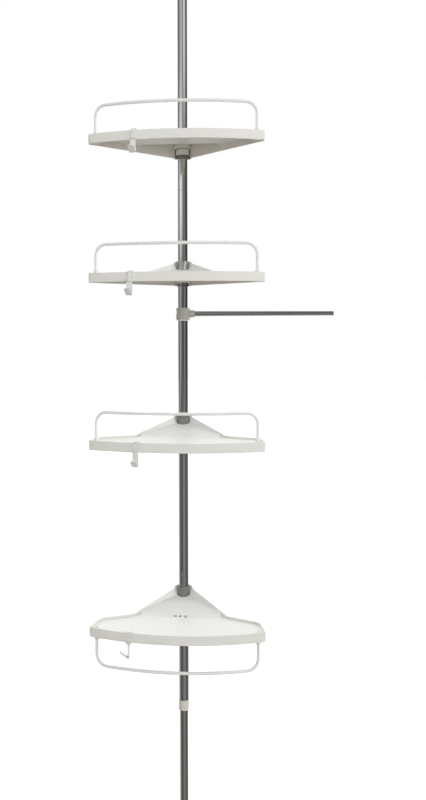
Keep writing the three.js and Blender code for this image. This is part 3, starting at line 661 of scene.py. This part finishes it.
# %% Outline of a tray
half_width, tip_depth, front_depth, corner_depth = 187.8, 166, 203, 17.7
tip_radius, rim_height, lip_width, wall = 8.1, 20, 3, 2.6
floor_top, ramp_reach, ramp_half_width, ramp_height = 15.5, 90, 86, 39.2
ridge_top, ridge_length, ridge_end, flank_reach = 57.5, 128, 22, 28
hub_radius, hub_bottom, hub_top = 20, 19.8, 53.5
arc_radius = (half_width ** 2 + (front_depth - tip_depth) ** 2) / (2 * (front_depth - tip_depth))
arc_centre = Vector((0, arc_radius - front_depth))
back_edge = Vector((half_width, -(tip_depth + corner_depth))).normalized()
inwards = Vector((back_edge.y, -back_edge.x))
corner = Vector((0, corner_depth))


def arc(centre, radius, first, last, count):
    angles = [first + (last - first) * i / count for i in range(count + 1)]
    return [centre + radius * Vector((math.cos(a), math.sin(a))) for a in angles]


def find_tip():
    start = corner + inwards * tip_radius
    offset = start - arc_centre
    half = offset.dot(back_edge)
    reach = math.sqrt(half ** 2 - offset.length_squared + (arc_radius - tip_radius) ** 2) - half
    return start + back_edge * reach


tip = find_tip()


def tray_outline(inset):
    """The plan of a tray in millimetres, drawn in by the inset."""
    from_arc = math.atan2(tip.y - arc_centre.y, tip.x - arc_centre.x)
    back_normal = math.atan2(-inwards.y, -inwards.x)
    front = arc(arc_centre, arc_radius - inset, -math.pi - from_arc, from_arc, 48)
    right = arc(tip, tip_radius - inset, from_arc, back_normal, 10)
    left = [Vector((-p.x, p.y)) for p in reversed(right)]
    return [*front[1:-1], *right, corner + Vector((0, inset / inwards.y)), *left]


print("tip", [round(v, 1) for v in tip], "arc radius", round(arc_radius, 1))

# %% [markdown]
# Behind each tip the back edge swells into a soft lobe, so that a bottle at the end of the shelf
# still stands on floor. Its plan is what a thread would draw round three discs: one in the tip, one
# on the straight edge and a large one between them. In each direction the disc that reaches
# furthest gives the next point. The two end discs stay a tenth inside the tray's own outline, so
# that no two walls coincide.

# %% Outline of a lobe
lobe_centre, lobe_radius, lobe_root, end_radius = Vector((145, -136)), 31, 150, tip_radius - 0.1
root = corner + back_edge * lobe_root + inwards * tip_radius
lobe_discs = [(tip, end_radius), (root, end_radius), (lobe_centre, lobe_radius)]


def lobe_outline(side, inset, steps=96):
    """The plan of the lobe behind the left tip (side -1) or the right one (side 1)."""
    points = []
    for step in range(steps):
        way = Vector((math.cos(math.tau * step / steps), math.sin(math.tau * step / steps)))
        centre, radius = max(lobe_discs, key=lambda disc: disc[0].dot(way) + disc[1])
        point = centre + (radius - inset) * way
        points.append(Vector((side * point.x, point.y)))
    return points


print("the lobes reach out to", round(lobe_centre.x + lobe_radius, 1))

# %% [markdown]
# The mould's blocks are slabs over a plan, pillars, and slabs cut off along a sloping plane. They are
# joined and cut by a Boolean modifier, on objects that last only as long as the modifier needs them.

# %% Blocks, cuts and joins
def extruded(points, vec):
    """A face over points in metres, carried along a vector into a closed block."""
    bm = bmesh.new()
    face = bm.faces.new([bm.verts.new(point) for point in points])
    made = bmesh.ops.extrude_face_region(bm, geom=[face])
    far = [v for v in made["geom"] if isinstance(v, bmesh.types.BMVert)]
    bmesh.ops.translate(bm, vec=vec, verts=far)
    bmesh.ops.recalc_face_normals(bm, faces=bm.faces)
    return bm


def slab(outline, low, high):
    """An upright block over a plan outline."""
    return extruded([(p.x * mm, p.y * mm, low * mm) for p in outline], (0, 0, (high - low) * mm))


def cut_off(bm, point, normal):
    """Cuts away what lies above a plane and closes the cut."""
    made = bmesh.ops.bisect_plane(bm, geom=[*bm.verts, *bm.edges, *bm.faces], dist=0.0001 * mm,
                                  plane_co=Vector(point) * mm, plane_no=normal, clear_outer=True)
    rim = [e for e in made["geom_cut"] if isinstance(e, bmesh.types.BMEdge)]
    bmesh.ops.holes_fill(bm, edges=rim, sides=0)
    bmesh.ops.recalc_face_normals(bm, faces=bm.faces)
    return bm


def temporary(bm):
    mesh = bpy.data.meshes.new("block")
    bm.to_mesh(mesh)
    bm.free()
    block = bpy.data.objects.new("block", mesh)
    scene.collection.objects.link(block)
    return block


def combine(first, second, operation):
    """Joins or cuts two closed meshes with a Boolean modifier, and gives the result as a new mesh."""
    base, tool = temporary(first), temporary(second)
    modifier = base.modifiers.new("combine", "BOOLEAN")
    modifier.operation, modifier.object, modifier.solver = operation, tool, "MANIFOLD"
    result = bmesh.new()
    result.from_mesh(base.evaluated_get(bpy.context.evaluated_depsgraph_get()).to_mesh())
    for block in (base, tool):
        bpy.data.objects.remove(block)
    return result


def joined(first, *others):
    for other in others:
        first = combine(first, other, "UNION")
    return first


def cut(first, *others):
    for other in others:
        first = combine(first, other, "DIFFERENCE")
    return first


def pillar(radius, low, high, steps=round_steps):
    return turned([(0, low), (radius, low), (radius, high), (0, high)], steps)


def clean(bm):
    """Merges points that coincide and dissolves edges that cross a flat face."""
    bmesh.ops.remove_doubles(bm, verts=bm.verts, dist=0.01 * mm)
    bmesh.ops.dissolve_limit(bm, angle_limit=math.radians(0.6), verts=bm.verts, edges=bm.edges)
    return bm


# %% [markdown]
# The raised back is three sloping planes: the ramp from the floor to the hub, and a flank along each
# back edge that falls from its ridge to the floor. The same planes, lowered by the wall's thickness,
# hollow it out from below, and they also shape the top of the hub's column.

# %% The raised back
ridge_slope = (ridge_top - ridge_end) / ridge_length
flank_slope = (ridge_top - floor_top) / flank_reach
ramp_slope = (ramp_height - floor_top) / ramp_reach


def flank_plane(side, drop):
    along, inward = Vector((side * back_edge.x, back_edge.y)), Vector((side * inwards.x, inwards.y))
    normal = Vector((*(ridge_slope * along + flank_slope * inward), 1))
    return (0, corner_depth, ridge_top - drop * normal.length), normal


def ramp_plane(drop):
    normal = Vector((0, -ramp_slope, 1))
    return (0, -ramp_reach, floor_top - drop * normal.length), normal


def raised_back(inset, drop, low):
    spread, high = half_width / (tip_depth + corner_depth), ridge_top + 4
    tip_of_back = corner_depth - inset * math.hypot(1, 1 / spread)
    half, ramp_half = (tip_of_back + ramp_reach) * spread, ramp_half_width - inset
    ramp_side = tip_of_back - ramp_half / spread
    whole = [Vector(p) for p in ((0, tip_of_back), (-half, -ramp_reach), (half, -ramp_reach))]
    ramp = [Vector(p) for p in (
        (0, tip_of_back), (-ramp_half, ramp_side), (-ramp_half, -ramp_reach), (ramp_half, -ramp_reach),
        (ramp_half, ramp_side))]
    return joined(cut_off(slab(ramp, low, high), *ramp_plane(drop)),
                  *[cut_off(slab(whole, low, high), *flank_plane(side, drop)) for side in (-1, 1)])


def hub_column(low):
    planes = [ramp_plane(0), flank_plane(-1, 0), flank_plane(1, 0)]
    return joined(*[cut_off(pillar(hub_radius, low, hub_top), *plane) for plane in planes])


# %% [markdown]
# Now the blocks are put together from the outside in: the rim and its lobes, the wells of the floor,
# the raised back and the hub, then the hollow below them, the tapered seat of the collet and the two
# sockets of the rail. Cutters reach a little past what they cut. The lowest tray also has three weep
# slots at the foot of its ramp, with a rib behind them that stops the eye.

# %% Mould a tray
ring_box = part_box("shelf_1_ferrule_right")
post = Vector((ring_box[0].x + ring_box[1].x, ring_box[0].y + ring_box[1].y)) / (2 * mm)
past, rim_rounding = 2, 1.6
seat_gap, seat_low, seat_high = 0.3, 17, 57
boss_radius, boss_top, socket_radius = 7.6, 18.4, 3.55
slot_pitch, slot_row, slot_half_width, slot_half_length = 10.9, -84, 3.2, 4
weep_rib = [Vector(p) for p in ((-17, -76), (17, -76), (17, -74), (-17, -74))]


def rounded_slab(outline, low, high):
    bm = slab(outline, low, high)
    edges = [e for e in bm.edges if abs(e.verts[0].co.z - e.verts[1].co.z) < 1e-7]
    bmesh.ops.bevel(bm, geom=edges, offset=rim_rounding * mm, offset_type="OFFSET", segments=4, profile=0.5,
                    affect="EDGES", clamp_overlap=False, material=-1)
    return bm


def mould_tray(weep_slots):
    lobes = [rounded_slab(lobe_outline(side, 0), floor_top - wall, rim_height) for side in (-1, 1)]
    wells = [slab(lobe_outline(side, lip_width), floor_top, rim_height + past) for side in (-1, 1)]
    tray = joined(rounded_slab(tray_outline(0), 0, rim_height), *lobes)
    tray = cut(tray, joined(slab(tray_outline(lip_width), floor_top, rim_height + past), *wells))
    tray = joined(tray, raised_back(0, 0, 10), hub_column(0))
    tray = cut(tray, joined(slab(tray_outline(wall), -past, floor_top - wall), raised_back(wall, wall, 0)))
    tray = joined(cut(tray, pillar(hub_radius - wall, -past, hub_bottom)), hub_column(hub_bottom))
    wide, narrow = cone_wide + seat_gap, cone_narrow + seat_gap
    tray = cut(tray, turned([(0, seat_low), (wide, seat_low), (wide, cone_low), (narrow, cone_high),
                             (narrow, seat_high), (0, seat_high)]))
    for side in (-1, 1):
        boss = pillar(boss_radius, 0, boss_top, 32)
        hole = pillar(socket_radius, -past, rim_height + past, 24)
        for bm in (boss, hole):
            bmesh.ops.translate(bm, vec=(side * post.x * mm, post.y * mm, 0), verts=bm.verts)
        tray = cut(joined(tray, boss), hole)
    if weep_slots:
        tray = joined(tray, slab(weep_rib, 2, 17.6))
    for x in weep_slots:
        slot = slab([Vector((x + side * slot_half_width, slot_row + end * slot_half_length))
                     for side, end in ((-1, -1), (1, -1), (1, 1), (-1, 1))], 5, 30)
        soften(slot, 1.2, 3, 60)
        tray = cut(tray, slot)
    return clean(tray)


tray_blank = mould_tray(())
print("a tray has", len(tray_blank.faces), "faces before its edges are rounded")
for name in shelves:
    tray = mould_tray((-slot_pitch, 0, slot_pitch)) if name == "shelf_4" else tray_blank.copy()
    soften(tray, 0.6, 2, 24)
    piece = add_piece(f"{name}_tray_moulding", lift(tray, heights[name]), f"{name}_body", tray_white,
                      "white_plastic", f"{name}_tray")
    piece.visible_glossy = name == "shelf_1"
tray_blank.free()

# %% [markdown]
# A rail is one bent wire. It stands in the tray's two sockets, bends over and follows the front arc.
# The wire's end is a disc that is extruded from station to station along that line, and turned each
# time to stay square to it. The lowest tray carries its rail the other way up. Like the lower trays,
# the wires stay out of the mirror image on the pole.

# %% The wire rails
wire_radius, rail_rise, rail_bend, engagement = 3.2, 68, 23, 15
rail_radius = math.hypot(post.x, post.y - arc_centre.y)
post_angle = math.asin(post.x / rail_radius)


def rail_stations(bend_steps=10, run_steps=40):
    """Angle about the arc's centre and height above the rim's middle, from the left leg to the right."""
    left = [(-post_angle, rim_height / 2 - engagement), (-post_angle, 16)]
    for i in range(bend_steps + 1):
        bend = math.pi / 2 * i / bend_steps
        left.append((rail_bend * (1 - math.cos(bend)) / rail_radius - post_angle,
                     rail_rise - rail_bend + rail_bend * math.sin(bend)))
    half = post_angle - rail_bend / rail_radius
    run = [(-half + 2 * half * i / run_steps, rail_rise) for i in range(1, run_steps)]
    return [*left, *run, *[(-angle, height) for angle, height in reversed(left)]]


def make_rail():
    stations = rail_stations()
    places = [Vector((rail_radius * math.sin(angle), arc_centre.y - rail_radius * math.cos(angle), height)) * mm
              for angle, height in stations]
    squares = []
    for i, (angle, height) in enumerate(stations):
        forward = (places[min(i + 1, len(places) - 1)] - places[max(i - 1, 0)]).normalized()
        outward = Vector((math.sin(angle), -math.cos(angle), 0))
        turn = Matrix((outward, forward.cross(outward), forward)).transposed().to_4x4()
        squares.append(Matrix.Translation(places[i]) @ turn)
    bm = bmesh.new()
    bmesh.ops.create_circle(bm, cap_ends=True, segments=20, radius=wire_radius * mm, matrix=squares[0])
    end = bm.faces[:][0]
    for number, (before, after) in enumerate(zip(squares, squares[1:])):
        made = bmesh.ops.extrude_face_region(bm, geom=[end])
        if number:
            bmesh.ops.delete(bm, geom=[end], context="FACES_ONLY")
        end = [g for g in made["geom"] if isinstance(g, bmesh.types.BMFace)][0]
        bmesh.ops.transform(bm, matrix=after @ before.inverted(), verts=end.verts)
    soften(bm, 0.5, 2, 60)
    return bm


def make_ferrule():
    bore, low, high = 3.5, 10.3, 15.3
    bm = turned([(bore, low), (5.1, low), (5.1, 13.6), (4.4, high), (bore, high)], 40)
    soften(bm, 0.3, 2, 20)
    return bm


for name in shelves:
    over = Matrix.Rotation(math.pi if name == "shelf_4" else 0, 4, "Y")
    seat = Matrix.Translation((0, 0, (heights[name] + rim_height / 2) * mm)) @ over
    rail = make_rail()
    bmesh.ops.transform(rail, matrix=seat, verts=rail.verts)
    piece = add_piece(f"{name}_wire", rail, f"{name}_body", rail_white, "white_coating", f"{name}_rail",
                      crease=50)
    piece.visible_glossy = False
    for end, side in (("left", -1), ("right", 1)):
        ferrule = make_ferrule()
        bmesh.ops.transform(ferrule, matrix=seat @ Matrix.Translation((side * post.x * mm, post.y * mm, 0)),
                            verts=ferrule.verts)
        add_piece(f"{name}_rail_ring_{end}", ferrule, f"{name}_body", tray_white, "white_plastic",
                  f"{name}_ferrule_{end}")

# %% [markdown]
# A clip straddles each rim, and a hook swivels on a headed pin under it. Both are bent straps: a side
# outline becomes a face, which is extruded by the strap's width and rounded. The hook's throat stays
# open, so the outline goes round it.

# %% Clips and hooks
hook_shares = {"shelf_1": -0.435, "shelf_2": -0.478, "shelf_3": -0.416, "shelf_4": -0.496}
hook_turns = {"shelf_1": 0, "shelf_2": 0, "shelf_3": 0, "shelf_4": -60}
gap, lug_low, lug_high, pivot_out = 0.3, 0.6, 3, 6.2


def strap(outline, width):
    """A strip of even width over a side outline of [outwards, height]."""
    return extruded([(-width / 2 * mm, -out * mm, z * mm) for out, z in outline], (width * mm, 0, 0))


def make_clip():
    inner, top, thick = -lip_width - gap, rim_height + gap, 2
    bm = strap([
        (inner - thick, floor_top + gap), (inner, floor_top + gap), (inner, top), (gap, top), (gap, lug_low),
        (10, lug_low), (10, lug_high), (gap + thick, lug_high), (gap + thick, top + thick),
        (inner - thick, top + thick)], 11)
    hole = pillar(2.1, lug_low - 1, lug_high + 1, 24)
    bmesh.ops.translate(hole, vec=(0, -pivot_out * mm, 0), verts=hole.verts)
    bm = cut(bm, hole)
    soften(bm, 0.45, 3, 40)
    return bm


def make_hook():
    half, top, drop, elbow_radius, thick = 1.1, -0.2, 27.5, 3.4, 2.2
    prong_out, prong_up, width, end_rounding = 16, 14, 12, 3.5
    bottom, rise = top - drop, math.atan2(prong_up, prong_out)
    elbow = Vector((elbow_radius - half, bottom + elbow_radius))
    outer = arc(elbow, elbow_radius, math.pi, 1.5 * math.pi + rise, 8)
    inner = arc(elbow, elbow_radius - thick, 1.5 * math.pi + rise, math.pi, 8)
    out = Vector((math.cos(rise), math.sin(rise)))
    reach = math.hypot(prong_out, prong_up) - elbow_radius
    tip_outer, tip_inner = outer[-1] + out * reach, inner[0] + out * reach
    bm = strap([(-half, top), *outer, tip_outer, tip_inner, *inner, (half, top)], width)
    at_end = {v for v in bm.verts
              if math.hypot(v.co.y + tip_outer.x * mm, v.co.z - tip_outer.y * mm) < (thick + 0.1) * mm}
    corners = [e for e in bm.edges
               if abs(e.verts[0].co.x - e.verts[1].co.x) < 1e-7 and at_end.issuperset(e.verts)]
    bmesh.ops.bevel(bm, geom=corners, offset=end_rounding * mm, offset_type="OFFSET", segments=6,
                    profile=0.5, affect="EDGES", clamp_overlap=False, material=-1)
    pin = turned([(0, -1.6), (1.8, -1.6), (1.8, 3.3), (3, 3.3), (3, 4), (1.9, 4.7), (0, 4.7)], 24)
    bm = joined(bm, pin)
    soften(bm, 0.35, 3, 40)
    return bm


for name in shelves:
    turned_by = math.asin(hook_shares[name] * half_width / arc_radius)
    at_rim = (Matrix.Translation((0, arc_centre.y * mm, heights[name] * mm))
              @ Matrix.Rotation(turned_by, 4, "Z") @ Matrix.Translation((0, -arc_radius * mm, 0)))
    swivel = (at_rim @ Matrix.Translation((0, -pivot_out * mm, 0))
              @ Matrix.Rotation(math.radians(hook_turns[name]), 4, "Z"))
    clip, hook = make_clip(), make_hook()
    bmesh.ops.transform(clip, matrix=at_rim, verts=clip.verts)
    bmesh.ops.transform(hook, matrix=swivel, verts=hook.verts)
    for kind, bm, part, node in (
            ("rim_clip", clip, "clip", "hook_clip"), ("swivel_hook", hook, "hook", "hook")):
        add_piece(f"{name}_{kind}", bm, f"{name}_{part}_body", clear_moulding, "hook_plastic", f"{name}_{node}")

# %% [markdown]
# The towel bar swings on a waisted grey clamp. Its socket leaves the sleeve sideways, so the clamp is
# two turned solids joined, with the pole's bore and the rod's seat cut through them.

# %% The towel bar
bar_height = (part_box("bar_clamp")[0].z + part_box("bar_clamp")[1].z) / 2 / mm
bar_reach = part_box("bar_cap")[1].x / mm
bar_steps = 48


def lying(bm):
    """Lays a turned piece down so that its axis points along the towel bar."""
    bmesh.ops.rotate(bm, cent=(0, 0, 0), matrix=Matrix.Rotation(math.pi / 2, 3, "Y"), verts=bm.verts)
    return bm


def make_clamp():
    half, radius, waist, corner_cut = 13.2, 15.3, 0.8, 1.2
    sleeve = turned([
        (0, -half), (radius - corner_cut, -half), (radius, corner_cut - half), (radius, -4.4),
        (radius - waist, 0), (radius - waist, 4.4), (radius, half - corner_cut), (radius - corner_cut, half),
        (0, half)])
    socket = lying(turned([(0, 0), (8.6, 0), (8.6, 15.3), (7.4, 25.8), (6.8, 27), (0, 27)], bar_steps))
    bores = pillar(13.05, -16, 16), lying(pillar(6.3, 14.9, 29, bar_steps))
    clamp = clean(cut(joined(sleeve, socket), *bores))
    soften(clamp, 0.3, 2, 30)
    return clamp


def make_split_ring():
    bm = turned([(pole_bore, -15.5), (14.4, -15.5), (14.4, -13.5), (12.75, -13.5), (12.75, 12.9),
                 (pole_bore, 12.9)], gap=9)
    soften(bm, 0.3, 3)
    return bm


def make_rod():
    rod_start, rod_end = 15.2, bar_reach - 3
    bm = lying(turned([(0, rod_start), (6, rod_start), (4.9, rod_end), (0, rod_end)], bar_steps))
    soften(bm, 0.2, 2)
    return bm


def make_end_cap():
    cap_start, cap_radius = bar_reach - 2.7, 5.4
    bm = lying(turned([(0, cap_start), (cap_radius, cap_start), (cap_radius, bar_reach - 1.5),
                       (4.6, bar_reach - 0.5), (0, bar_reach)], bar_steps))
    soften(bm, 0.25, 3, 12)
    return bm


for name, make, body, finish, slot, node in (
        ("bar_clamp_moulding", make_clamp, "bar_arm", grey_moulding, "grey_plastic", "bar_clamp"),
        ("bar_split_ring", make_split_ring, "bar_carrier_body", clear_moulding, "hook_plastic", "bar_carrier"),
        ("bar_tube", make_rod, "bar_arm", rod_steel, "pole_steel", "bar_rod"),
        ("bar_end", make_end_cap, "bar_arm", rod_steel, "pole_steel", "bar_cap")):
    add_piece(name, lift(make(), bar_height), body, finish, slot, node)
